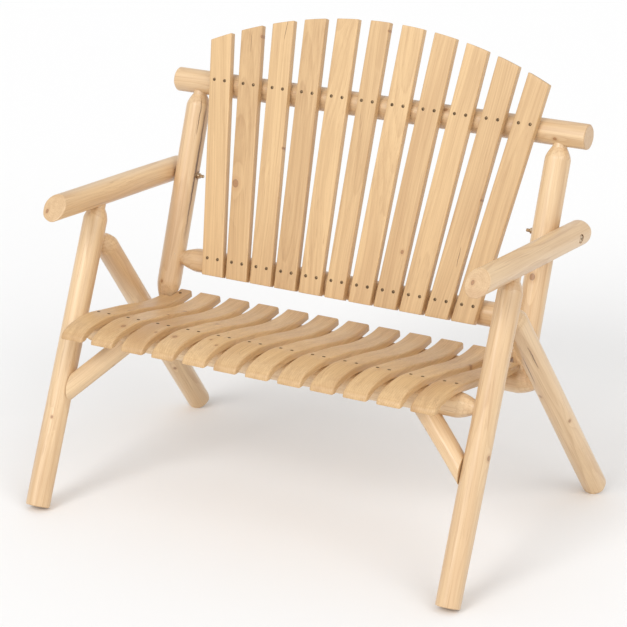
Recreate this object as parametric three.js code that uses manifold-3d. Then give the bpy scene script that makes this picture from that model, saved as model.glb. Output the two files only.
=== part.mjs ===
// Log-style garden armchair for two: a frame of peeled round poles with a fan of back slats
// and S-curved seat slats. Millimetres. X runs across the seat, Y towards the back, Z up,
// and the floor is Z = 0. The chair is the same on both sides of X = 0, and Y = 0 is the
// middle of its depth once DEPTH_SHIFT is added.
import * as THREE from 'three';
import { mergeVertices } from 'three/addons/utils/BufferGeometryUtils.js';
import Module from 'manifold-3d';

const wasm = await Module();
wasm.setup();

// ---- driving dimensions ------------------------------------------------------------------
const SIDES = 24; // facets round a pole
const GAP = 0.3; // clearance left at every joint

const LEG_R = 27.5;
const REAR_LEG_R = 28;
const POST_R = 28.5;
const RAIL_R = 28;
const ARM_R = 28.3;
const BRACE_R = 23.3;
const BRACE_LOW = 257; // height up the leg where a brace meets its axis
const BRACE_RUN = 158; // the brace rises as far as it runs inwards

const FRAME_X = 525; // side frames: distance of a front leg and an armrest from the middle
const POST_X = 466;
const LEG_FOOT = [-358.4, 8.3]; // Y, Z of the middle of a front foot
const LEG_TOP_Z = 662;
const LEG_SLOPE = 0.442; // backward travel of a front leg for each unit of height
const REAR_FOOT = [542.7, 357.8, 14.5]; // X, Y, Z of the middle of a rear foot
const REAR_HEAD = [519.7, -95.5, 603]; // where its axis would cross the front leg's
const REAR_LEG_LENGTH = 721;
const ARM_HEIGHT = 672.5; // armrest axis at Y = 0
const ARM_DROP = 0.0723; // fall of the armrest towards the back
const ARM_FRONT = -245.5;
const ARM_BACK = 280;

const LEAN = Math.atan(0.3691); // of the backrest from upright
const BACK_FOOT = [103.7, 499.2]; // Y, Z on the slats' front face at the lower screws
const ROW_GAP = 414.3; // distance between the two rows of screws in the back slats
const FAN_PITCH = [66.4, 78.6]; // slat spacing at the lower and at the upper row
const BACK_SLATS = 11;
const BACK_SLAT_W = 56;
const MIDDLE_SLAT_W = 50;
const SLAT_T = 18;
const SLAT_BOTTOM = -40; // below the lower row
const CROWN_TOP = 597; // top of the fan above the lower row
const CROWN_R = 1078; // radius of the arc through the slats' tops
const TOP_RAIL_S = 407; // rails' positions up the backrest
const LOW_RAIL_S = -11;
const TOP_RAIL_HALF = 530;

const SEAT_SLATS = 12;
const SEAT_PITCH = 80;
const SEAT_SLAT_W = 57;
// Y, Z down the middle of a seat slat's top face, from the front edge to the back
const SEAT_TOP = [
  [-320, 414], [-318.4, 421], [-313.2, 427.8], [-302.7, 433.9], [-287.6, 438.9], [-266.6, 442.2],
  [-242.5, 443.8], [-218.5, 443.4], [-193.6, 440.3], [-160.7, 433.9], [-121.7, 426.9],
  [-82.8, 419.8], [-46.9, 411.9], [-13, 404.3], [18.9, 398.7], [50.9, 395.1], [84.9, 393.2],
  [110.9, 394.4], [134.9, 397.3],
];
const NOTCH = [440, 86]; // X, Y of the inner corner of the notch cut round each post
const FRONT_RAIL_Z = 395.7;
const REAR_RAIL = [101.3, 346.7]; // Y, Z

const BOLT_R = 4;
const BOLT_Y = 213;
const NUT_R = 7.5;
const WASHER_R = 9.5;
const DEPTH_SHIFT = 2;

// ---- solids --------------------------------------------------------------------------------
const V = (x, y, z) => new THREE.Vector3(x, y, z);
const UP = V(0, 0, 1);

// A closed mesh as a solid: vertices merged, degenerate triangles dropped.
function solid(geometry) {
  const g = geometry.index ? geometry.toNonIndexed() : geometry;
  const bare = new THREE.BufferGeometry().setAttribute('position', g.getAttribute('position'));
  const merged = mergeVertices(bare, 1e-4);
  const index = merged.index.array;
  const tris = [];
  for (let i = 0; i < index.length; i += 3) {
    const [a, b, c] = [index[i], index[i + 1], index[i + 2]];
    if (a !== b && b !== c && c !== a) tris.push(a, b, c);
  }
  return new wasm.Manifold(new wasm.Mesh({
    numProp: 3,
    vertProperties: new Float32Array(merged.attributes.position.array),
    triVerts: new Uint32Array(tris),
  }));
}

function cut(body, ...tools) {
  return tools.reduce((left, tool) => left.subtract(tool), body);
}

// A turned pole from a to b. Each end is a list of [distance in from the end, radius];
// grow swells the whole pole, for cutting its socket in another piece.
function pole(a, b, radius, startEnd, finishEnd, grow = 0, sides = SIDES) {
  const along = b.clone().sub(a);
  const length = along.length();
  const profile = [];
  for (const [d, r] of startEnd) profile.push([d, r]);
  for (const [d, r] of [...finishEnd].reverse()) profile.push([length - d, r]);
  profile[0][0] -= grow;
  profile[profile.length - 1][0] += grow;
  const points = [new THREE.Vector2(0, profile[0][0])];
  for (const [z, r] of profile) points.push(new THREE.Vector2(r + grow, z));
  points.push(new THREE.Vector2(0, profile[profile.length - 1][0]));
  const g = new THREE.LatheGeometry(points, sides);
  g.rotateX(Math.PI / 2); // the lathe's axis, +Y, becomes +Z
  g.applyQuaternion(new THREE.Quaternion().setFromUnitVectors(UP, along.normalize()));
  g.translate(a.x, a.y, a.z);
  return solid(g);
}

const sawn = (r, ease = 2) => [[0, r - ease], [ease, r]];
// A shoulder worked down to a round tenon: tenon length and radius, taper length, full radius.
function tenon(length, r, taper, full) {
  return [
    [0, r], [length, r], [length + taper * 0.36, r + (full - r) * 0.5],
    [length + taper * 0.72, r + (full - r) * 0.86], [length + taper, full],
  ];
}

// A prism from a closed outline of [u, v] pairs, extruded by depth along the third axis.
function board(outline, depth, place) {
  const shape = new THREE.Shape(outline.map(([u, v]) => new THREE.Vector2(u, v)));
  const g = new THREE.ExtrudeGeometry(shape, { depth, bevelEnabled: false });
  g.applyMatrix4(place);
  return solid(g);
}

const group = new THREE.Group();
function add(name, body, material) {
  const mesh = body.getMesh();
  const g = new THREE.BufferGeometry();
  g.setAttribute('position', new THREE.BufferAttribute(Float32Array.from(mesh.vertProperties), 3));
  g.setIndex(Array.from(mesh.triVerts));
  g.translate(0, DEPTH_SHIFT, 0);
  g.computeVertexNormals();
  const made = new THREE.Mesh(g, new THREE.MeshStandardMaterial(material));
  made.name = name;
  group.add(made);
}
const POLE_WOOD = { color: 0xe2be91, roughness: 0.5, metalness: 0 };
const SLAT_WOOD = { color: 0xdcb587, roughness: 0.55, metalness: 0 };
const STEEL = { color: 0x8d877c, roughness: 0.4, metalness: 0.9 };

// ---- where things are -----------------------------------------------------------------------
const legY = (z) => LEG_FOOT[0] + (z - LEG_FOOT[1]) * LEG_SLOPE;
const armZ = (y) => ARM_HEIGHT - y * ARM_DROP;
const upBack = [Math.sin(LEAN), Math.cos(LEAN)];
const intoBack = [Math.cos(LEAN), -Math.sin(LEAN)];
// A point s up the backrest and d behind the slats' front face, as [Y, Z].
const onBack = (s, d) => [0, 1].map((i) => BACK_FOOT[i] + s * upBack[i] + d * intoBack[i]);
const RAIL_DEPTH = SLAT_T + RAIL_R + GAP;

// ---- side frames ------------------------------------------------------------------------------
const floorBlock = solid(new THREE.BoxGeometry(1400, 1200, 100).translate(0, 0, -50));
const legEnds = [sawn(LEG_R), tenon(18, 17, 27, LEG_R)];
const legPole = (side, grow = 0) => pole(
  V(side * FRAME_X, ...LEG_FOOT), V(side * FRAME_X, legY(LEG_TOP_Z), LEG_TOP_Z),
  LEG_R, ...legEnds, grow,
);

const rearFoot = (side) => V(side * REAR_FOOT[0], REAR_FOOT[1], REAR_FOOT[2]);
const rearAxis = V(...REAR_HEAD).sub(V(...REAR_FOOT)).normalize();
const rearHead = (side) => {
  const end = V(...REAR_FOOT).addScaledVector(rearAxis, REAR_LEG_LENGTH);
  return V(side * end.x, end.y, end.z);
};
const headEnd = [[0, 12], [14, 12], [18, 14.5], [28, 21], [38, 25.8], [51, REAR_LEG_R]];
const rearPole = (side, grow = 0) => pole(
  rearFoot(side), rearHead(side), REAR_LEG_R, sawn(REAR_LEG_R), headEnd, grow,
);

const armAt = (side, y) => V(side * FRAME_X, y, armZ(y));
function armPole(side, grow = 0) {
  const front = [[0, ARM_R - 5], [2, ARM_R - 2], [6, ARM_R]];
  const back = [
    [0, ARM_R - 14], [3, ARM_R - 8], [8, ARM_R - 3.5], [14, ARM_R - 1], [20, ARM_R],
  ];
  return pole(armAt(side, ARM_FRONT - 22), armAt(side, ARM_BACK), ARM_R, front, back, grow);
}
// The armrest's nose is sawn off on a slope that faces forward and up.
const noseBlock = solid(new THREE.BoxGeometry(1400, 200, 200).translate(0, -100, 0)
  .applyMatrix4(new THREE.Matrix4().makeRotationX(-0.65))
  .translate(0, ARM_FRONT, armZ(ARM_FRONT)));

const postAt = (side, s) => V(side * POST_X, ...onBack(s, RAIL_DEPTH));
const POST_TOP_S = TOP_RAIL_S - 8;
const POST_BOTTOM_S = -150;
const postPole = (side, grow = 0) => pole(
  postAt(side, POST_BOTTOM_S), postAt(side, POST_TOP_S), POST_R,
  tenon(28, 13, 50, POST_R), tenon(22, 16.5, 28, POST_R), grow,
);

// ---- rails and braces ---------------------------------------------------------------------------
function crossRail(halfShoulder, taper, y, z, grow = 0) {
  const end = tenon(22, 15, taper, RAIL_R);
  const half = halfShoulder + 22;
  return pole(V(-half, y, z), V(half, y, z), RAIL_R, end, end, grow);
}
const topRail = (grow = 0) => pole(
  V(-TOP_RAIL_HALF, ...onBack(TOP_RAIL_S, RAIL_DEPTH)),
  V(TOP_RAIL_HALF, ...onBack(TOP_RAIL_S, RAIL_DEPTH)), RAIL_R, sawn(RAIL_R), sawn(RAIL_R), grow,
);
const lowRail = (grow = 0) => crossRail(438, 42, ...onBack(LOW_RAIL_S, RAIL_DEPTH), grow);

// Seat slats rest on both seat rails, so each rail is lowered until it just clears them.
function offsetProfile(top, t) {
  return top.map(([y, z], i) => {
    const a = top[Math.max(i - 1, 0)];
    const b = top[Math.min(i + 1, top.length - 1)];
    const len = Math.hypot(b[0] - a[0], b[1] - a[1]);
    return [y + ((b[1] - a[1]) / len) * t, z - ((b[0] - a[0]) / len) * t];
  });
}
const seatUnder = offsetProfile(SEAT_TOP, SLAT_T);
seatUnder[0] = [SEAT_TOP[0][0] + SLAT_T, SEAT_TOP[0][1]]; // the front end is sawn level
const underAt = (y) => {
  const i = seatUnder.findIndex(([yy], k) => k > 0 && yy >= y);
  const [[y0, z0], [y1, z1]] = [seatUnder[i - 1], seatUnder[i]];
  return z0 + ((y - y0) / (y1 - y0)) * (z1 - z0);
};
function railBelow(y, z) {
  let lift = Infinity;
  for (let k = -25; k <= 25; k += 1) {
    lift = Math.min(lift, underAt(y + k) - Math.sqrt(RAIL_R ** 2 - k ** 2) - GAP - z);
  }
  return z + lift;
}
const frontRailZ = railBelow(legY(FRONT_RAIL_Z), FRONT_RAIL_Z);
const rearRailZ = railBelow(...REAR_RAIL);
const frontRail = (grow = 0) => crossRail(498, 42, legY(FRONT_RAIL_Z), frontRailZ, grow);
const rearRail = (grow = 0) => crossRail(504, 42, REAR_RAIL[0], rearRailZ, grow);

const legUp = V(0, LEG_SLOPE, 1).normalize();
// A brace's foot is mitred upright, with only a shallow hollow to sit against the leg.
const mitreBlock = (side) => solid(new THREE.BoxGeometry(100, 400, 400)
  .translate(side * (FRAME_X - LEG_R + 1.2 + 50), -200, 250));
function bracePole(side) {
  const low = V(side * FRAME_X, ...LEG_FOOT).addScaledVector(legUp, BRACE_LOW);
  const high = V(side * (FRAME_X - BRACE_RUN), ...LEG_FOOT)
    .addScaledVector(legUp, BRACE_LOW + BRACE_RUN);
  return pole(low, high, BRACE_R, [[0, BRACE_R]], [[0, BRACE_R]]);
}

// ---- fixings --------------------------------------------------------------------------------------
const boltAt = (side, x) => V(side * x, BOLT_Y, armZ(BOLT_Y));
const ARM_FACE = FRAME_X + ARM_R - 4; // the bolt's head sits in a shallow recess
const POST_FACE = POST_X - POST_R;
const boltBore = (side) => pole(
  boltAt(side, POST_FACE - 10), boltAt(side, FRAME_X + ARM_R + 10), BOLT_R + GAP,
  [[0, BOLT_R + GAP]], [[0, BOLT_R + GAP]], 0, 16,
);
const headBore = (side) => pole(
  boltAt(side, ARM_FACE - GAP), boltAt(side, FRAME_X + ARM_R + 10), WASHER_R + 1,
  [[0, WASHER_R + 1]], [[0, WASHER_R + 1]], 0, 20,
);
const seatBore = (side) => pole( // a flat filed on the post for the washer
  boltAt(side, POST_FACE - 10), boltAt(side, POST_FACE + 2), WASHER_R + 1,
  [[0, WASHER_R + 1]], [[0, WASHER_R + 1]], 0, 20,
);

for (const [word, side] of [['left', -1], ['right', 1]]) {
  const leg = cut(legPole(side), floorBlock, frontRail(GAP), rearPole(side, GAP));
  add(`front_leg_${word}`, leg, POLE_WOOD);
  add(`rear_leg_${word}`, cut(rearPole(side), floorBlock, rearRail(GAP)), POLE_WOOD);
  const post = cut(postPole(side), lowRail(GAP), boltBore(side), seatBore(side));
  add(`back_post_${word}`, post, POLE_WOOD);
  const arm = cut(armPole(side), noseBlock, legPole(side, GAP), boltBore(side), headBore(side));
  add(`armrest_${word}`, arm, POLE_WOOD);
  add(`brace_${word}`, cut(
    bracePole(side), legPole(side, GAP), frontRail(GAP), mitreBlock(side)), POLE_WOOD);

  const bolt = pole(boltAt(side, POST_FACE - 17), boltAt(side, ARM_FACE + 4), BOLT_R,
    [[0, BOLT_R - 1], [1, BOLT_R]],
    [[0, 4], [1.4, 7], [3.2, 8.6], [4, 8.6], [4, BOLT_R]], 0, 16);
  add(`arm_bolt_${word}`, bolt, STEEL);
  const ring = (x0, x1, r, sides) => cut(
    pole(boltAt(side, x0), boltAt(side, x1), r, [[0, r]], [[0, r]], 0, sides), boltBore(side));
  add(`arm_washer_${word}`, ring(POST_FACE + 0.1, POST_FACE + 1.7, WASHER_R, 20), STEEL);
  add(`arm_nut_${word}`, ring(POST_FACE - 6.6, POST_FACE - 0.2, NUT_R, 6), STEEL);
}

add('top_rail', cut(topRail(), postPole(-1, GAP), postPole(1, GAP)), POLE_WOOD);
add('lower_back_rail', lowRail(), POLE_WOOD);
add('front_seat_rail', frontRail(), POLE_WOOD);
add('rear_seat_rail', cut(rearRail(), postPole(-1, GAP), postPole(1, GAP)), POLE_WOOD);

// ---- back slats: a fan, each sawn level below and to a common arc above ---------------------------
const backFrame = new THREE.Matrix4()
  .makeBasis(V(1, 0, 0), V(0, ...upBack), V(0, -intoBack[0], -intoBack[1]));
backFrame.setPosition(0, ...onBack(0, SLAT_T));
const crownAt = (x) => CROWN_TOP - CROWN_R + Math.sqrt(CROWN_R ** 2 - x ** 2);
for (let k = 0; k < BACK_SLATS; k += 1) {
  const step = k - (BACK_SLATS - 1) / 2;
  const spread = (FAN_PITCH[1] - FAN_PITCH[0]) / ROW_GAP;
  const tilt = Math.atan(step * spread);
  const half = (step === 0 ? MIDDLE_SLAT_W : BACK_SLAT_W) / 2 / Math.cos(tilt);
  const edgeAt = (s, sign) => step * (FAN_PITCH[0] + spread * s) + sign * half;
  const topOf = (sign) => {
    let s = CROWN_TOP;
    for (let n = 0; n < 30; n += 1) s = crownAt(edgeAt(s, sign));
    return s;
  };
  const middle = step * (FAN_PITCH[0] + spread * topOf(0));
  const outline = [
    [edgeAt(SLAT_BOTTOM, -1), SLAT_BOTTOM], [edgeAt(SLAT_BOTTOM, 1), SLAT_BOTTOM],
    [edgeAt(topOf(1), 1), topOf(1)], [middle, crownAt(middle)], [edgeAt(topOf(-1), -1), topOf(-1)],
  ];
  add(`back_slat_${String(k + 1).padStart(2, '0')}`, board(outline, SLAT_T, backFrame), SLAT_WOOD);
}

// ---- seat slats: one S-curved board sawn into strips, the outer two notched for the posts ----------
const seatOutline = [...SEAT_TOP.map(([y, z]) => [y, z])].reverse().concat(seatUnder);
const seatFrame = new THREE.Matrix4().makeBasis(V(0, 1, 0), V(0, 0, 1), V(1, 0, 0));
const notchBlock = (side) => solid(new THREE.BoxGeometry(200, 200, 200)
  .translate(side * (NOTCH[0] + 100), NOTCH[1] + 100, 400));
for (let k = 0; k < SEAT_SLATS; k += 1) {
  const x = (k - (SEAT_SLATS - 1) / 2) * SEAT_PITCH;
  let slat = board(seatOutline, SEAT_SLAT_W, seatFrame.clone().setPosition(x - SEAT_SLAT_W / 2, 0, 0));
  if (k === 0 || k === SEAT_SLATS - 1) slat = cut(slat, notchBlock(Math.sign(x)));
  add(`seat_slat_${String(k + 1).padStart(2, '0')}`, slat, SLAT_WOOD);
}

export default group;
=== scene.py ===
"""Looks of the log-style garden armchair: turned poles, sawn slats, screws and arm bolts, in
metres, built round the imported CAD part. Each CAD node is replaced by a finer piece in the same
place, and the small screws and the post pins are added."""

import math
import zlib

import bmesh
import bpy
import numpy as np
from mathutils import Matrix, Vector


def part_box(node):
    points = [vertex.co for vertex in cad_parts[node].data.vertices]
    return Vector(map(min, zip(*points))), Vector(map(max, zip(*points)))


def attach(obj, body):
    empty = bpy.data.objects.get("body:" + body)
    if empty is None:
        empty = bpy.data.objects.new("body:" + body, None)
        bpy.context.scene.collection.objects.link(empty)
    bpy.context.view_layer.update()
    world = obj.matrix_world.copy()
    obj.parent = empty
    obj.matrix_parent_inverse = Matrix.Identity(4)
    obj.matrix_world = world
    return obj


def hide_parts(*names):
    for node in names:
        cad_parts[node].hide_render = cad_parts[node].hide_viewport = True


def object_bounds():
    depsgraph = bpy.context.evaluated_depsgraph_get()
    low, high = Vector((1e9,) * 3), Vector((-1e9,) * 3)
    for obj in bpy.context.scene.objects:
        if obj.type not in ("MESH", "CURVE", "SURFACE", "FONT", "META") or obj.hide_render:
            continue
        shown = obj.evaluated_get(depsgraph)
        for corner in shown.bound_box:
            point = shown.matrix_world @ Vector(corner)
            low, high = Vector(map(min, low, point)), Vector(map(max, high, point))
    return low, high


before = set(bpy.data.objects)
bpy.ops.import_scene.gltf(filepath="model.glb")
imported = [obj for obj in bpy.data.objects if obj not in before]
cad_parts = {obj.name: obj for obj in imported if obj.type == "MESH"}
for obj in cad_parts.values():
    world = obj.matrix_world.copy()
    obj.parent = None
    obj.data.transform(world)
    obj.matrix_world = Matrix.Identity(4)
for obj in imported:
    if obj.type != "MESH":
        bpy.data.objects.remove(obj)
CAD_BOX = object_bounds()
MM = 0.001

# ---- the part's driving dimensions -------------------------------------------------------------
DEPTH_SHIFT = 2 * MM
LEAN = math.atan(0.3691)  # of the backrest from upright
BACK_FOOT = (103.7 * MM + DEPTH_SHIFT, 499.2 * MM)  # Y, Z on the slats' front face, lower screw row
ROW_GAP = 414.3 * MM
FAN_PITCH = (66.4 * MM, 78.6 * MM)
BACK_SLATS = 11
BACK_SLAT_W = 56 * MM
MIDDLE_SLAT_W = 50 * MM
SLAT_T = 18 * MM
SLAT_BOTTOM = -40 * MM
CROWN_TOP = 597 * MM
CROWN_R = 1078 * MM
SEAT_SLATS = 12
SEAT_PITCH = 80 * MM
SEAT_SLAT_W = 57 * MM
SEAT_TOP = np.array([
    (-320, 414), (-318.4, 421), (-313.2, 427.8), (-302.7, 433.9), (-287.6, 438.9), (-266.6, 442.2),
    (-242.5, 443.8), (-218.5, 443.4), (-193.6, 440.3), (-160.7, 433.9), (-121.7, 426.9),
    (-82.8, 419.8), (-46.9, 411.9), (-13, 404.3), (18.9, 398.7), (50.9, 395.1), (84.9, 393.2),
    (110.9, 394.4), (134.9, 397.3)]) * MM + (DEPTH_SHIFT, 0)
SEAT_MIDDLE_Z = 420 * MM
NOTCH = (440 * MM, 86 * MM + DEPTH_SHIFT)  # X and Y that the outer seat slats are cut back to
NOTCH_TOOL = 200 * MM
ARM_FRONT = -245.5 * MM + DEPTH_SHIFT
NOSE_TILT = 0.65
MITRE_X = 498.7 * MM
SCREW_R = 3.8 * MM
SEAT_SCREW_Y = -190.6 * MM + DEPTH_SHIFT
REAR_SCREW_Y = 117 * MM
SCREW_APART = 14 * MM  # either side of a slat's middle
BOLT_RECESS = 10.5 * MM

SLAT_EDGE_R = 2.8 * MM
SEAT_EDGE_R = 4.4 * MM
CAP_INSET = 4.5 * MM  # of the ring that a slat's end face is capped inside
FRONT_SAWN = 16 * MM  # run over which a seat slat turns to its level-sawn front end

SIDES = 72
STEP = 9 * MM  # ring spacing along a pole
FACETS = 11  # knife cuts round a worked-down pole end
FACET_DEPTH = 1.1
SHEAR_RUN = 75 * MM  # length over which a sloped cut fades back to square rings
SLAT_RINGS = 60
SEAT_RINGS = 110
BACK_PITH = ((-35 * MM, 35 * MM), (30 * MM, 85 * MM))  # where the log's middle lies from a slat's
SEAT_PITH = ((50 * MM, 120 * MM), (-30 * MM, 50 * MM))

GRAIN_LEAN = {"slat_wood": 0.013, "pole_wood": 0.003}  # slope of the grain against the piece
END_FACING = 0.62  # a face turned this far along the piece is end grain
END_KNOT = 12 * MM  # a knot this near an end shows on the end face too
NO_KNOT = (1.0, 1.0, 0.001)
NO_CRACK = (1.0, 9.0, 0.001)
SEEDED_KNOTS = 2  # on a pole with no mark of its own

BOLT_R = 4 * MM
HEAD_DEPTH = 4 * MM  # from the floor of the bolt's recess to the top of its head
NUT_R = 7.5 * MM
NUT_TURN = 0.3
PIN_SPOT = (16.2 * MM, 125.6 * MM, 486.4 * MM)  # X inwards from the post's axis, Y, Z


def seeded(name):
    return np.random.default_rng(zlib.crc32(name.encode()))


# ---- marks in the wood, in mm: (point, radius) of a knot, (point, point, width) of a crack -----
KNOTS = {
    "back_slat_02": [((-304, 169, 670), 7), ((-300, 295, 992), 2.6)],
    "back_slat_03": [((-196, 215, 757), 1.7)],
    "back_slat_06": [((25, 312, 1039), 1.8)],
    "back_slat_08": [((152, 137, 585), 3.4)],
    "back_slat_10": [((321, 198, 714), 1.7)],
    "top_rail": [((189, 272, 886), 3.4), ((461, 263, 859), 3.3)],
    "back_post_right": [((466, 152, 574), 5.6)],
    "back_post_left": [((-469, 98, 423), 2.8)],
    "armrest_right": [((515, -246, 691), 3.5)],
    "armrest_left": [((-540, -251, 683), 3.2)],
    "seat_slat_01": [((-420, -115, 424), 2.6)],
    "seat_slat_02": [((-346, -247, 443), 4.8), ((-338, -8, 404), 3.7), ((-336, -82, 420), 2.8)],
    "seat_slat_03": [((-261, -245, 444), 3)],
    "seat_slat_04": [((-209, -248, 443), 4.8), ((-204, -81, 420), 3.8)],
    "seat_slat_05": [((-101, -249, 443), 3), ((-129, -226, 444), 2.8)],
    "seat_slat_10": [((259, -74, 418), 2.8)],
    "seat_slat_11": [((388, 14, 394), 4.2)],
    "rear_leg_left": [((-524, 226, 147), 3.4)],
    "rear_leg_right": [((559, 168, 246), 3.4), ((524, 84, 328), 3.2)],
    "brace_left": [((-400, -212, 327), 2.6), ((-461, -235, 271), 2.5)],
    "front_leg_left": [((-518, -297, 208), 2.4)],
    "front_leg_right": [((552, -229, 304), 4.4)],
}
CRACKS = {
    "back_slat_02": [((-328, 293, 1006), (-322, 274, 956), 1)],
    "back_slat_03": [((-237, 306, 1042), (-239, 288, 992), 1.6)],
    "back_slat_10": [((293, 150, 618), (290, 132, 571), 1.6)],
    "rear_leg_right": [((542, -31, 488), (546, 26, 414), 2.4),
                       ((524, -21, 463), (526, 53, 368), 2.6)],
    "back_post_left": [((-439, 270, 837), (-439, 145, 497), 6.5),
                       ((-446, 259, 839), (-447, 226, 749), 2.4)],
}


def marks_of(node):
    """The node's own marks and, on a pole that has none, some small seeded knots."""
    knots = [(np.array(spot) * MM, r * MM) for spot, r in KNOTS.get(node, ())]
    cracks = [(*np.array(ends) * MM, width * MM) for *ends, width in CRACKS.get(node, ())]
    rng = seeded(node + " knots")
    low, high = (np.array(c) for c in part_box(node))
    for _ in range(0 if "slat" in node or knots else SEEDED_KNOTS):
        spot = low + (high - low) * rng.uniform(0.08, 0.92, 3)
        if all(np.linalg.norm(spot - k[0]) > 0.07 for k in knots):
            knots.append((spot, rng.uniform(1.6, 3.4) * MM))
    return knots, cracks


# ---- reading the CAD ---------------------------------------------------------------------------
def shaft(node, towards):
    """Centre, unit axis, radius and end distances of a turned CAD pole, from its long faces."""
    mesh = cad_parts[node].data
    co = np.array([v.co for v in mesh.vertices])
    normal = np.array([p.normal for p in mesh.polygons])
    area = np.array([p.area for p in mesh.polygons])
    big = area > np.sort(area)[-30]  # the largest faces give a rough axis
    axis = np.linalg.eigh((normal[big].T * area[big]) @ normal[big])[1][:, 0]
    for _ in range(3):  # and the long faces beside it a truer one
        side = (abs(normal @ axis) < 0.004) & (area > area.max() * 0.1)
        axis = np.linalg.eigh((normal[side].T * area[side]) @ normal[side])[1][:, 0]
    axis *= np.sign(axis @ np.array(towards))
    used = sorted({i for p, s in zip(mesh.polygons, side) if s for i in p.vertices})
    u = np.cross(axis, (0, 0, 1) if abs(axis[2]) < 0.9 else (0, 1, 0))
    u /= np.linalg.norm(u)
    v = np.cross(axis, u)
    q = np.stack([co[used] @ u, co[used] @ v], 1)
    keep = np.ones(len(q), bool)
    for _ in range(6):  # a circle through their corners, leaving strays out
        a = np.c_[2 * q[keep], np.ones(keep.sum())]
        sol = np.linalg.lstsq(a, (q[keep] ** 2).sum(1), rcond=None)[0]
        radius = math.sqrt(sol[2] + sol[0] ** 2 + sol[1] ** 2)
        off = abs(np.hypot(*(q - sol[:2]).T) - radius)
        keep = off < max(0.0006, np.median(off) * 2)
    centre = u * sol[0] + v * sol[1]
    t = co @ axis
    return centre, axis, radius, t.min(), t.max()


# ---- mesh code ---------------------------------------------------------------------------------
def loft(rings, inner_start=(), inner_end=()):
    """Vertices and faces of a closed tube through equal rings, capped by inner rings."""
    rings = [*reversed(inner_start), *rings, *inner_end]
    n = len(rings[0])
    faces = []
    for i in range(len(rings) - 1):
        a, b = i * n, (i + 1) * n
        faces += [(a + j, a + (j + 1) % n, b + (j + 1) % n, b + j) for j in range(n)]
    last = (len(rings) - 1) * n
    faces += [tuple(range(n - 1, -1, -1)), tuple(range(last, last + n))]
    return np.concatenate(rings), faces


def make_object(name, verts, faces):
    mesh = bpy.data.meshes.new(name)
    mesh.from_pydata([tuple(v) for v in verts], [], faces)
    mesh.update()
    o = bpy.data.objects.new(name, mesh)
    bpy.context.scene.collection.objects.link(o)
    bm = bmesh.new()
    bm.from_mesh(mesh)
    bmesh.ops.recalc_face_normals(bm, faces=bm.faces)
    bm.to_mesh(mesh)
    bm.free()
    return o


def finish_mesh(o, angle):
    """Smooth shading that stays crisp at real edges and flat on flat faces."""
    bm = bmesh.new()
    bm.from_mesh(o.data)
    for f in bm.faces:
        f.smooth = True
    for e in bm.edges:
        e.smooth = not (len(e.link_faces) == 2 and e.calc_face_angle() > math.radians(angle))
    bm.to_mesh(o.data)
    bm.free()
    even = o.modifiers.new("even normals", "WEIGHTED_NORMAL")
    even.keep_sharp = True
    even.weight = 60


def dress(o, material, node=None, angle=38):
    """Finishes a piece: shading, material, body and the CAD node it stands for."""
    finish_mesh(o, angle)
    o.data.materials.append(MATERIAL[material])
    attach(o, "root")
    if node:
        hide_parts(node)


def joined(parts):
    """Several (vertices, faces) as one."""
    verts, faces = [], []
    for part_verts, part_faces in parts:
        base = sum(len(v) for v in verts)
        verts.append(part_verts)
        faces += [tuple(base + i for i in f) for f in part_faces]
    return np.concatenate(verts), faces


def subtract(o, tool):
    """Takes tool's solid out of o and removes tool."""
    cut = o.modifiers.new("cut", "BOOLEAN")
    cut.operation, cut.object, cut.solver = "DIFFERENCE", tool, "EXACT"
    bpy.context.view_layer.update()
    made = bpy.data.meshes.new_from_object(o.evaluated_get(bpy.context.evaluated_depsgraph_get()))
    o.modifiers.clear()
    o.data = made
    bpy.data.objects.remove(tool)


def write_attribute(mesh, name, domain, values, kind="FLOAT_VECTOR"):
    made = mesh.attributes.new(name, kind, domain)
    key = "vector" if kind == "FLOAT_VECTOR" else "value"
    made.data.foreach_set(key, np.asarray(values, np.float32).ravel())


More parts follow.
